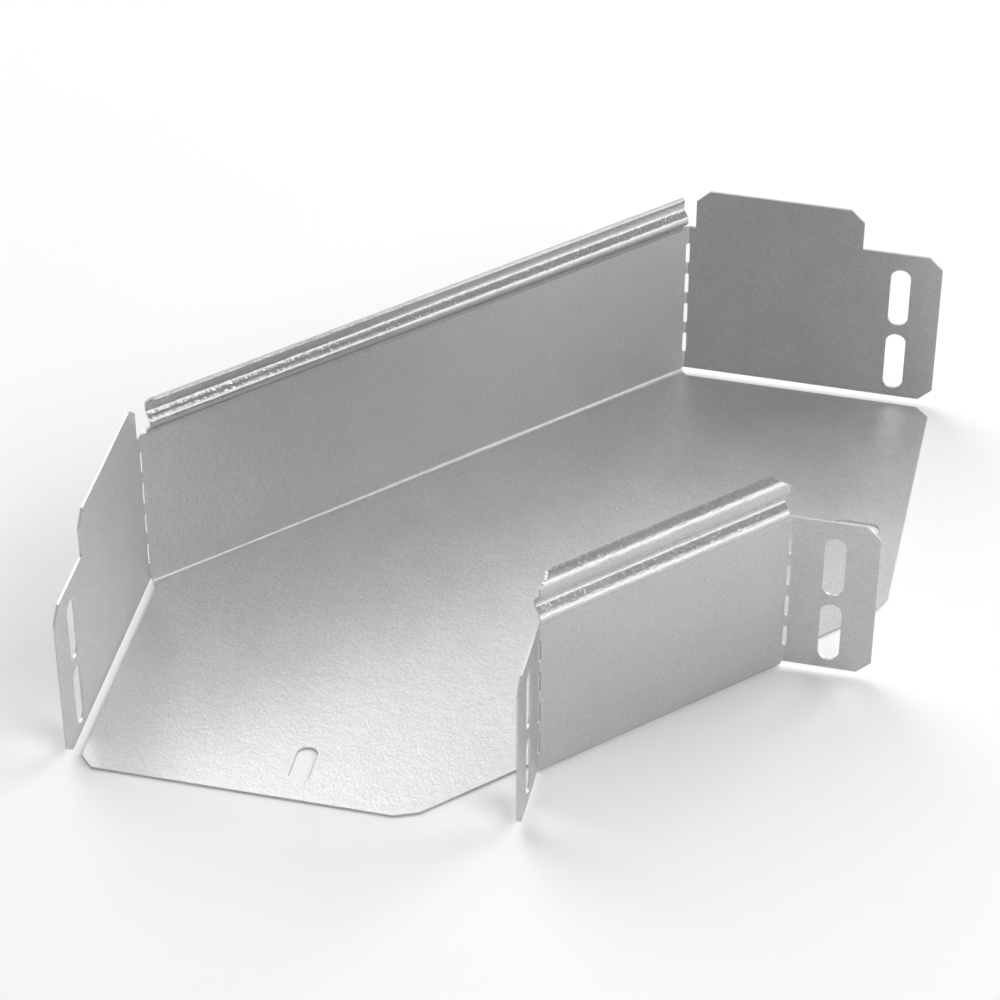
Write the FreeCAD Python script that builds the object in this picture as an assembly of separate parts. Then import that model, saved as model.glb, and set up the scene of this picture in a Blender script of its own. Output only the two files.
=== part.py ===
import FreeCAD, Part
import math
import os

os.makedirs("parts", exist_ok=True)

# A cable tray bend: one folded steel sheet that turns a tray run through a right angle.
# It is drawn in plan lengths u and v. u runs out along the right-hand leg and v along the
# left-hand leg, both from the corner where the two outer flange faces would meet.
# Heights are above the face of the base that the cables lie on.
# The part is the same either side of the diagonal u = v, so half of it is modelled.
# All sizes are millimetres.

# Sheet and tray
sheet = 0.8
tray_width = 150.0

# Inner side of the turn: how much of each leg the inner wall cuts off as it crosses the
# corner, and the length of the inner flange from there to the open end
inner_turn = 69.3
inner_flange_length = 29.6

# Base: the gap that lets a tray wall pass, the set-back of its slanting edge from the
# inner wall, and how far each base fold stops short of the upright bend beside it
side_gap = 2.7
slant_setback = 5.0
fold_relief = 0.7

# Inside radii of the base folds and of the upright bends
fold_radius = 1.5
bend_radius = 1.0

# Flanges: heights of the foot and of the low part, the rise from there to the top of the
# tall part, where that starts after the bend and ends before the open end, and the
# corners cut off
flange_foot = 1.6
flange_low = 65.3
tall_rise = 16.3
tall_start = 2.6
tall_end = 29.0
corner_cut = 4.8

# Rolled rim of the walls, on the face towards the cables. Each corner of its outline has
# a rise from the one below, the first from the low flanges, and a reach inwards.
bead_rise = 0.9
nose_rise = 5.4
nose_reach = 5.4
lip_foot_rise = 2.8
lip_head_rise = 5.6
lip_reach = 0.7
curl_rise = 1.3
curl_reach = 4.2

# Radii of the rim on that face, from the foot of the bead up
bead_radius = 4.5
nose_radius = 2.9
lip_foot_radius = 2.6
lip_head_radius = 4.4

# Ends of the rolled rim: how far each stops short of the bend, and its cut top corner,
# with its rise up to the corner of the curl
outer_rim_relief = 2.8
inner_rim_relief = 0.7
outer_rim_cut = 2.0
inner_rim_cut = 4.4
rim_cut_rise = 2.9

# Bolt slots of the flanges and of the base
slot_width = 7.2
slot_length = 24.6
slot_inset = 14.6
slot_low = 17.5
slot_pitch = 28.7
slots_per_flange = 2
base_slot_length = 17.0
base_slot_inset = 16.2

# Slits that make the upright bends easy to fold by hand
slit_width = 1.5
slit_length = 8.8
slit_pitch = 13.5
slits_per_bend = 4

# Where the drawn faces of the inner flange and both walls meet, and the open end. The
# walls stand as far apart as the flanges.
root2 = math.sqrt(2)
flange_face = tray_width + sheet
inner_wall_start = flange_face + inner_turn
leg_reach = inner_wall_start + inner_flange_length
outer_wall_start = inner_wall_start + flange_face - root2 * flange_face

# Half lengths of the walls, and u + v on their faces towards the cables and on the slant
outer_half = outer_wall_start / root2
inner_half = inner_turn / root2
outer_sum = outer_wall_start
inner_sum = outer_sum + root2 * tray_width
slant_sum = inner_wall_start + flange_face - root2 * slant_setback

# Heights of the corners of the rim and of the lowest slit
bead_foot = flange_low + bead_rise
nose_height = bead_foot + nose_rise
lip_foot = nose_height + lip_foot_rise
lip_head = lip_foot + lip_head_rise
curl_height = lip_head + curl_rise
slit_low = (flange_foot + flange_low - (slits_per_bend - 1) * slit_pitch) / 2

# The middle of the box in plan, the depth of every cutter, and what counts as no length
plan_centre = (leg_reach - sheet) / 2
through = 20 * sheet
no_length = 1e-6

along_wall = FreeCAD.Vector(1, 1, 0) / root2
across_wall = FreeCAD.Vector(1, -1, 0) / root2
along_u = FreeCAD.Vector(1, 0, 0)
along_v = FreeCAD.Vector(0, -1, 0)
upwards = FreeCAD.Vector(0, 0, 1)


def spot(u, v, height):
    """A point of the part, with the origin below the middle of its box."""
    return FreeCAD.Vector(u - plan_centre, plan_centre - v, height + sheet)


def wall_spot(total, along, height):
    """A point by u + v and by its distance along the walls from the diagonal."""
    half_run = along / root2
    return spot(total / 2 + half_run, total / 2 - half_run, height)


def plate(points, push):
    """A flat piece: a closed outline, thickened along push."""
    return Part.Face(Part.makePolygon(points + points[:1])).extrude(push)


def unit(a, b):
    """The direction from a to b."""
    run = math.hypot(b[0] - a[0], b[1] - a[1])
    return (b[0] - a[0]) / run, (b[1] - a[1]) / run


def shifted(corners, shift):
    """The corners of a path moved to its left by shift."""
    ways = [unit(a, b) for a, b in zip(corners, corners[1:])]
    ways = ways[:1] + ways + ways[-1:]
    moved = []
    for (x, y), before, after in zip(corners, ways, ways[1:]):
        scale = shift / (1 + before[0] * after[0] + before[1] * after[1])
        moved.append((x - scale * (before[1] + after[1]), y + scale * (before[0] + after[0])))
    return moved


def rounded(corners, radii):
    """Corner points of a path with its turns rounded, as runs of two or arcs of three."""
    pieces = []
    at = corners[0]
    for before, corner, after, radius in zip(corners, corners[1:], corners[2:], radii):
        back = unit(corner, before)
        ahead = unit(corner, after)
        half = math.acos(back[0] * ahead[0] + back[1] * ahead[1]) / 2
        reach = radius / math.tan(half)
        inward = unit((0, 0), (back[0] + ahead[0], back[1] + ahead[1]))
        depth = radius / math.sin(half) - radius
        start = (corner[0] + reach * back[0], corner[1] + reach * back[1])
        middle = (corner[0] + depth * inward[0], corner[1] + depth * inward[1])
        end = (corner[0] + reach * ahead[0], corner[1] + reach * ahead[1])
        pieces.append((at, start))
        pieces.append((start, middle, end))
        at = end
    pieces.append((at, corners[-1]))
    return pieces


def turns_left(before, corner, after):
    """Whether a path bends to its left at corner."""
    (ax, ay), (bx, by) = unit(before, corner), unit(corner, after)
    return ax * by - ay * bx > 0


def folded_strip(corners, radii, side, place):
    """The cut section of a folded sheet. Its drawn face follows corners and radii, and
    its thickness lies to the left of that path for side 1, to the right for side -1."""
    shift = side * sheet
    far_radii = []
    for before, corner, after, radius in zip(corners, corners[1:], corners[2:], radii):
        far_radii.append(radius - shift if turns_left(before, corner, after) else radius + shift)
    near = rounded(corners, radii)
    far = rounded(shifted(corners, shift), far_radii)
    far = [tuple(reversed(piece)) for piece in reversed(far)]
    outline = near + [(near[-1][-1], far[0][0])] + far + [(far[-1][-1], near[0][0])]
    edges = []
    for piece in outline:
        points = [place(*point) for point in piece]
        if len(points) == 3:
            edges.append(Part.Arc(*points).toShape())
        elif points[0].distanceToPoint(points[1]) > no_length:
            edges.append(Part.makeLine(*points))
    return Part.Face(Part.Wire(edges))


def obround(centre, along, across, length, width):
    """A round-ended slot, cut square through the sheet."""
    run = along * (length - width) / 2
    cap = along * width / 2
    side = across * width / 2
    push = along.cross(across) * through
    edges = [
        Part.Arc(centre + run + side, centre + run + cap, centre + run - side).toShape(),
        Part.makeLine(centre + run - side, centre - run - side),
        Part.Arc(centre - run - side, centre - run - cap, centre - run + side).toShape(),
        Part.makeLine(centre - run + side, centre + run + side),
    ]
    slot = Part.Face(Part.Wire(edges)).extrude(push)
    slot.translate(push / -2)
    return slot


def base_half():
    """Half of the base: it follows the folds, the tray walls and the open end."""
    outer_tangent = outer_sum + root2 * fold_radius
    inner_tangent = inner_sum - root2 * fold_radius
    outer_end = outer_half - fold_relief
    inner_end = inner_half - fold_relief
    slant_end = slant_sum - leg_reach
    slant_cut = corner_cut / root2
    outline = [
        wall_spot(outer_tangent, 0, 0),
        wall_spot(outer_tangent, outer_end, 0),
        spot(side_gap + root2 * outer_end, side_gap, 0),
        spot(leg_reach - corner_cut, side_gap, 0),
        spot(leg_reach, side_gap + corner_cut, 0),
        spot(leg_reach, slant_end - corner_cut, 0),
        spot(leg_reach - slant_cut, slant_end + slant_cut, 0),
        wall_spot(slant_sum, inner_end, 0),
        wall_spot(inner_tangent, inner_end, 0),
        wall_spot(inner_tangent, 0, 0),
    ]
    return plate(outline, upwards * -sheet)


def wall_half(face_sum, inwards, half_length, rim_relief, rim_cut):
    """Half of a wall, folded up from the base and rolled at its rim. face_sum is u + v on
    the face towards the cables, and inwards is 1 where that face looks along rising u + v."""

    def section_spot(reach, height):
        return wall_spot(face_sum + inwards * root2 * reach, 0, height)

    foot = folded_strip([(fold_radius, 0), (0, 0), (0, flange_low)], [fold_radius], 1, section_spot)
    foot = foot.extrude(along_wall * (half_length - fold_relief))

    rim_line = [
        (0, flange_low - bead_radius),
        (0, bead_foot),
        (nose_reach, nose_height),
        (lip_reach, lip_foot),
        (lip_reach, lip_head),
        (curl_reach, curl_height),
    ]
    rim_radii = [bead_radius, nose_radius, lip_foot_radius, lip_head_radius]
    rim_end = half_length - rim_relief
    rim = folded_strip(rim_line, rim_radii, 1, section_spot)
    rim = rim.extrude(along_wall * rim_end)

    # The top corner comes off along a line that goes up past the rim
    cut_foot = curl_height - rim_cut_rise
    above = curl_height + rim_cut_rise
    corner = plate(
        [
            wall_spot(face_sum, rim_end, cut_foot),
            wall_spot(face_sum, rim_end - 2 * rim_cut, above),
            wall_spot(face_sum, rim_end + rim_cut, above),
            wall_spot(face_sum, rim_end + rim_cut, cut_foot),
        ],
        across_wall * through,
    )
    corner.translate(across_wall * through / -2)
    return foot.fuse(rim.cut(corner))


def bend_half(wall_start, face):
    """The upright bend between a wall and a flange whose drawn faces meet at
    u = wall_start, v = face, with the flat of the wall as far as the diagonal."""
    middle = (wall_start + face) / 2
    path = [(middle, middle), (wall_start, face), (wall_start + tall_start, face)]
    section = folded_strip(path, [bend_radius], -1, lambda u, v: spot(u, v, flange_foot))
    return section.extrude(upwards * (flange_low - flange_foot))


def flange_end():
    """The outline that every flange has at the open end, as (u, height)."""
    return [
        (leg_reach - corner_cut, flange_foot),
        (leg_reach, flange_foot + corner_cut),
        (leg_reach, flange_low - corner_cut),
        (leg_reach - corner_cut, flange_low),
    ]


def flange(start, face, rest_of_outline):
    """A flange on the leg along u, from start to the open end, behind its drawn face."""
    outline = [(start, flange_foot)] + flange_end() + rest_of_outline
    return plate([spot(u, face, height) for u, height in outline], along_v * -sheet)


def outer_flange():
    bend_end = outer_wall_start + tall_start
    step = leg_reach - tall_end
    tall_top = flange_low + tall_rise
    tall_outline = [
        (step, flange_low),
        (step, tall_top - corner_cut),
        (step - corner_cut, tall_top),
        (bend_end + corner_cut, tall_top),
        (bend_end, tall_top - corner_cut),
    ]
    return flange(bend_end, 0, tall_outline)


def inner_flange():
    start = inner_wall_start + tall_start
    return flange(start, flange_face, [(start, flange_low)])


def slots():
    """Two upright slots in each flange, and one slot along the leg in the base."""
    cutters = []
    for face in (0, flange_face):
        for step in range(slots_per_flange):
            height = slot_low + step * slot_pitch
            centre = spot(leg_reach - slot_inset, face - sheet / 2, height)
            cutters.append(obround(centre, upwards, along_u, slot_length, slot_width))
    centre = spot(leg_reach - base_slot_inset, tray_width / 2, -sheet / 2)
    cutters.append(obround(centre, along_u, along_v, base_slot_length, slot_width))
    return cutters


def slits():
    """The row of slits down each upright bend, cut square to the middle of the bend."""
    across_bend = (along_wall + along_u).normalize()
    cutters = []
    for u, v in ((outer_wall_start, 0), (inner_wall_start, flange_face)):
        for step in range(slits_per_bend):
            centre = spot(u, v, slit_low + step * slit_pitch)
            cutters.append(obround(centre, upwards, across_bend, slit_length, slit_width))
    return cutters


def tray_bend():
    """The whole sheet: one half, folded and cut, joined to its mirror image."""
    half = base_half().fuse(
        [
            wall_half(outer_sum, 1, outer_half, outer_rim_relief, outer_rim_cut),
            wall_half(inner_sum, -1, inner_half, inner_rim_relief, inner_rim_cut),
            bend_half(outer_wall_start, 0),
            bend_half(inner_wall_start, flange_face),
            outer_flange(),
            inner_flange(),
        ]
    )
    half = half.cut(slots() + slits())
    other_half = half.mirror(FreeCAD.Vector(0, 0, 0), along_wall)
    return half.fuse(other_half).removeSplitter()


whole = tray_bend()
bend = whole.Solids[0]
print("solids", len(whole.Solids), "valid", bend.isValid(), "volume", round(bend.Volume, 1))
print("box", bend.BoundBox)
bend.exportStep("parts/tray_bend.step")
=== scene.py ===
import math

import bpy
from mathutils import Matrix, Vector

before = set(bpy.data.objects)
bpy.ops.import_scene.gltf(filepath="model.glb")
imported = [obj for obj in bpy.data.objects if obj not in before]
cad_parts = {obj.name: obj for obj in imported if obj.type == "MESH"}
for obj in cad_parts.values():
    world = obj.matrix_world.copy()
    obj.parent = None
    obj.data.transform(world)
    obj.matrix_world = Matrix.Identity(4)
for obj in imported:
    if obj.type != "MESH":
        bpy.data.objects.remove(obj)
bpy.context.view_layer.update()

# The camera: its place in metres, the way it looks, and its lens.
CAMERA_PLACE = Vector((0.20826, -0.95356, 0.85526))
CAMERA_AIM = Vector((-0.16929619, 0.74612433, -0.64392335))
CAMERA_NEAREST = 0.05
CAMERA_FARTHEST = 50.0
LENS_MM = 134.514
SENSOR_MM = 36.0

# The zinc coat: its grey, how metallic it is, and how matt it is on flat sheet and on the rims.
ZINC_GREY = 0.545
ZINC_METALLIC = 0.87
ZINC_ROUGHNESS = 0.38
ROLLED_ROUGHNESS = 0.20

# The grain of the coat, from fine to broad: dimples, waves and clouds. Sizes and depths are in
# metres. The dimples are a little longer along the floor than they are high.
DIMPLE_SIZE = 0.0008
DIMPLE_DETAIL = 2.0
DIMPLE_HARSHNESS = 0.6
DIMPLE_STRETCH = 1.2
DIMPLE_DEPTH = 0.00007
ROLLED_DIMPLE_DEPTH = 0.00009
WAVE_SIZE = 0.0045
WAVE_DETAIL = 2.0
WAVE_HARSHNESS = 0.5
WAVE_DEPTH = 0.00008
ROLLED_WAVE_DEPTH = 0.00018
CLOUD_SIZE = 0.018
CLOUD_DETAIL = 3.0
CLOUD_HARSHNESS = 0.6

# The noise values that count as lowest and highest, and how far the grain changes the coat:
# the dimples and clouds its shade, as factors, and the clouds its roughness too.
NOISE_LOW = 0.25
NOISE_HIGH = 0.75
DIMPLE_SHADES = (0.89, 1.11)
CLOUD_SHADES = (0.97, 1.03)
CLOUD_ROUGHNESS = 0.02

# Where the rolled rims are, in metres: each wall's place across the turn and half its length,
# then how far a rim reaches from the middle of its wall, and the height where it starts.
RIMMED_WALLS = ((-0.0645, 0.1107), (0.0857, 0.0492))
TURN_DEGREES = 45.0
RIM_REACH = 0.013
RIM_FOOT = 0.0650
RIM_FADE = 0.001

# The surroundings: white up to a low height, a grey ceiling, and a weak even light.
AMBIENT = 0.02
WHITE_UP_TO = 0.25
GREY_FROM = 0.42
CEILING_GREY = 0.34

# The white floor, just under the part, with a slight glow of its own.
FLOOR_WHITE = 0.86
FLOOR_LIFT = 0.04
FLOOR_HALF_SIZE = 12.0
FLOOR_GAP = 0.0002
PURE_WHITE = (1.0, 1.0, 1.0, 1.0)


def place_camera():
    camera = bpy.data.objects.new("camera", bpy.data.cameras.new("camera"))
    bpy.context.scene.collection.objects.link(camera)
    camera.data.lens = LENS_MM
    camera.data.sensor_width = SENSOR_MM
    camera.data.clip_start = CAMERA_NEAREST
    camera.data.clip_end = CAMERA_FARTHEST
    camera.location = CAMERA_PLACE
    camera.rotation_euler = CAMERA_AIM.to_track_quat("-Z", "Y").to_euler()
    bpy.context.scene.camera = camera


def fresh_nodes(owner):
    owner.use_nodes = True
    owner.node_tree.nodes.clear()
    return owner.node_tree.nodes, owner.node_tree.links


def grain(nodes, links, place, size, detail, harshness):
    noise = nodes.new("ShaderNodeTexNoise")
    noise.inputs["Scale"].default_value = 1.0 / size
    noise.inputs["Detail"].default_value = detail
    noise.inputs["Roughness"].default_value = harshness
    links.new(place, noise.inputs["Vector"])
    return noise.outputs["Fac"]


def ramp(nodes, links, value, start, end, low, high):
    span = nodes.new("ShaderNodeMapRange")
    span.inputs["From Min"].default_value = start
    span.inputs["From Max"].default_value = end
    span.inputs["To Min"].default_value = low
    span.inputs["To Max"].default_value = high
    links.new(value, span.inputs["Value"])
    return span.outputs["Result"]


def spread(nodes, links, value, low, high):
    return ramp(nodes, links, value, NOISE_LOW, NOISE_HIGH, low, high)


def relief(nodes, links, height, depth, under=None):
    bump = nodes.new("ShaderNodeBump")
    bump.inputs["Strength"].default_value = 1.0
    links.new(depth, bump.inputs["Distance"])
    links.new(height, bump.inputs["Height"])
    if under is not None:
        links.new(under, bump.inputs["Normal"])
    return bump.outputs["Normal"]


def reckon(nodes, links, operation, first, second=None):
    step = nodes.new("ShaderNodeMath")
    step.operation = operation
    for entry, value in zip(step.inputs, (first, second)):
        if isinstance(value, float):
            entry.default_value = value
        elif value is not None:
            links.new(value, entry)
    return step.outputs["Value"]


def near(nodes, links, value, middle, reach):
    offset = reckon(nodes, links, "SUBTRACT", value, middle)
    gap = reckon(nodes, links, "ABSOLUTE", offset)
    return reckon(nodes, links, "LESS_THAN", gap, reach)


def rolled_rims(nodes, links, place):
    # 1 on the rolled rims of both walls, 0 on the rest of the sheet.
    turned = nodes.new("ShaderNodeMapping")
    turned.inputs["Rotation"].default_value = (0.0, 0.0, math.radians(TURN_DEGREES))
    links.new(place, turned.inputs["Vector"])
    split = nodes.new("ShaderNodeSeparateXYZ")
    links.new(turned.outputs["Vector"], split.inputs["Vector"])
    rims = None
    for wall, half_length in RIMMED_WALLS:
        across = near(nodes, links, split.outputs["X"], wall, RIM_REACH)
        along = near(nodes, links, split.outputs["Y"], 0.0, half_length)
        rim = reckon(nodes, links, "MULTIPLY", across, along)
        rims = rim if rims is None else reckon(nodes, links, "MAXIMUM", rims, rim)
    rise = ramp(
        nodes, links, split.outputs["Z"], RIM_FOOT - RIM_FADE, RIM_FOOT + RIM_FADE, 0.0, 1.0
    )
    return reckon(nodes, links, "MULTIPLY", rims, rise)


def depth_by_place(nodes, links, rims, elsewhere, on_rims):
    return ramp(nodes, links, rims, 0.0, 1.0, elsewhere, on_rims)


def zinc_coat():
    material = bpy.data.materials.new("galvanised_sheet")
    nodes, links = fresh_nodes(material)
    place = nodes.new("ShaderNodeTexCoord").outputs["Object"]
    stretched = nodes.new("ShaderNodeMapping")
    level = 1.0 / DIMPLE_STRETCH
    stretched.inputs["Scale"].default_value = (level, level, DIMPLE_STRETCH)
    links.new(place, stretched.inputs["Vector"])
    dimples = grain(
        nodes, links, stretched.outputs["Vector"], DIMPLE_SIZE, DIMPLE_DETAIL, DIMPLE_HARSHNESS
    )
    waves = grain(nodes, links, place, WAVE_SIZE, WAVE_DETAIL, WAVE_HARSHNESS)
    clouds = grain(nodes, links, place, CLOUD_SIZE, CLOUD_DETAIL, CLOUD_HARSHNESS)

    rims = rolled_rims(nodes, links, place)
    wave_depth = depth_by_place(nodes, links, rims, WAVE_DEPTH, ROLLED_WAVE_DEPTH)
    dimple_depth = depth_by_place(nodes, links, rims, DIMPLE_DEPTH, ROLLED_DIMPLE_DEPTH)
    normal = relief(nodes, links, waves, wave_depth)
    normal = relief(nodes, links, dimples, dimple_depth, normal)

    broad = spread(nodes, links, clouds, *(ZINC_GREY * factor for factor in CLOUD_SHADES))
    fine = spread(nodes, links, dimples, *DIMPLE_SHADES)
    shade = reckon(nodes, links, "MULTIPLY", broad, fine)
    colour = nodes.new("ShaderNodeCombineColor")
    for channel in ("Red", "Green", "Blue"):
        links.new(shade, colour.inputs[channel])

    coat = nodes.new("ShaderNodeBsdfPrincipled")
    coat.inputs["Metallic"].default_value = ZINC_METALLIC
    links.new(colour.outputs["Color"], coat.inputs["Base Color"])
    matt = spread(
        nodes, links, clouds, ZINC_ROUGHNESS - CLOUD_ROUGHNESS, ZINC_ROUGHNESS + CLOUD_ROUGHNESS
    )
    mix = nodes.new("ShaderNodeMix")
    mix.inputs["B"].default_value = ROLLED_ROUGHNESS
    links.new(rims, mix.inputs["Factor"])
    links.new(matt, mix.inputs["A"])
    links.new(mix.outputs["Result"], coat.inputs["Roughness"])
    links.new(normal, coat.inputs["Normal"])
    output = nodes.new("ShaderNodeOutputMaterial")
    links.new(coat.outputs["BSDF"], output.inputs["Surface"])
    return material


def seen_directly(nodes, links):
    # 1 for what the camera sees, also in a mirror or through glass, 0 for the light it sheds.
    path = nodes.new("ShaderNodeLightPath")
    total = path.outputs["Is Camera Ray"]
    for ray in ("Is Glossy Ray", "Is Transmission Ray"):
        total = reckon(nodes, links, "MAXIMUM", total, path.outputs[ray])
    return total


def surroundings():
    world = bpy.data.worlds.new("surroundings")
    bpy.context.scene.world = world
    nodes, links = fresh_nodes(world)
    upward = nodes.new("ShaderNodeSeparateXYZ")
    links.new(nodes.new("ShaderNodeTexCoord").outputs["Generated"], upward.inputs["Vector"])
    fade = ramp(nodes, links, upward.outputs["Z"], WHITE_UP_TO, GREY_FROM, 1.0, CEILING_GREY)
    white = nodes.new("ShaderNodeBackground")
    white.inputs["Strength"].default_value = 1.0
    links.new(fade, white.inputs["Color"])
    even = nodes.new("ShaderNodeBackground")
    even.inputs["Color"].default_value = PURE_WHITE
    even.inputs["Strength"].default_value = AMBIENT
    mix = nodes.new("ShaderNodeMixShader")
    links.new(seen_directly(nodes, links), mix.inputs["Fac"])
    links.new(even.outputs["Background"], mix.inputs[1])
    links.new(white.outputs["Background"], mix.inputs[2])
    output = nodes.new("ShaderNodeOutputWorld")
    links.new(mix.outputs["Shader"], output.inputs["Surface"])


def white_floor():
    material = bpy.data.materials.new("white_floor")
    nodes, links = fresh_nodes(material)
    paint = nodes.new("ShaderNodeBsdfDiffuse")
    paint.inputs["Color"].default_value = (FLOOR_WHITE, FLOOR_WHITE, FLOOR_WHITE, 1.0)
    glow = nodes.new("ShaderNodeEmission")
    glow.inputs["Color"].default_value = PURE_WHITE
    strength = reckon(nodes, links, "MULTIPLY", seen_directly(nodes, links), FLOOR_LIFT)
    links.new(strength, glow.inputs["Strength"])
    both = nodes.new("ShaderNodeAddShader")
    links.new(paint.outputs["BSDF"], both.inputs[0])
    links.new(glow.outputs["Emission"], both.inputs[1])
    output = nodes.new("ShaderNodeOutputMaterial")
    links.new(both.outputs["Shader"], output.inputs["Surface"])
    return material


def studio_floor():
    half = FLOOR_HALF_SIZE
    corners = [(-half, -half, 0), (half, -half, 0), (half, half, 0), (-half, half, 0)]
    mesh = bpy.data.meshes.new("studio_floor")
    mesh.from_pydata(corners, [], [(0, 1, 2, 3)])
    mesh.materials.append(white_floor())
    floor = bpy.data.objects.new("studio_floor", mesh)
    floor.location = (0.0, 0.0, -FLOOR_GAP)
    bpy.context.scene.collection.objects.link(floor)


def soft_box(name, around, up, away, width, height, radiance):
    # around and up are degrees from +X and from the floor, and away is metres from the part.
    turn = math.radians(around)
    rise = math.radians(up)
    reach = away * math.cos(rise)
    place = Vector((reach * math.cos(turn), reach * math.sin(turn), away * math.sin(rise)))
    lamp = bpy.data.lights.new(name, "AREA")
    lamp.shape = "RECTANGLE"
    lamp.size = width
    lamp.size_y = height
    lamp.energy = radiance * math.pi * width * height
    box = bpy.data.objects.new(name, lamp)
    bpy.context.scene.collection.objects.link(box)
    box.location = place
    box.rotation_euler = (-place).to_track_quat("-Z", "Y").to_euler()


def light_studio():
    soft_box("back_box", around=98, up=46, away=2.2, width=2.4, height=0.7, radiance=0.9)
    soft_box("right_strip", around=-15, up=15, away=2.2, width=2.4, height=1.1, radiance=1.0)
    soft_box("right_back_box", around=38, up=33, away=2.3, width=1.4, height=1.0, radiance=5.6)
    soft_box("right_front_box", around=-45, up=46, away=2.2, width=1.0, height=1.0, radiance=4.8)
    soft_box("left_box", around=144, up=44, away=2.2, width=1.6, height=1.6, radiance=2.7)
    soft_box("top_box", around=120, up=76, away=2.2, width=1.2, height=1.2, radiance=2.7)
    soft_box("front_box", around=-105, up=38, away=2.4, width=2.6, height=1.2, radiance=0.35)


def dress_sheet():
    coat = zinc_coat()
    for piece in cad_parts.values():
        for socket in piece.material_slots:
            socket.material = coat


bpy.context.scene.view_settings.view_transform = "Standard"
place_camera()
surroundings()
studio_floor()
light_studio()
dress_sheet()
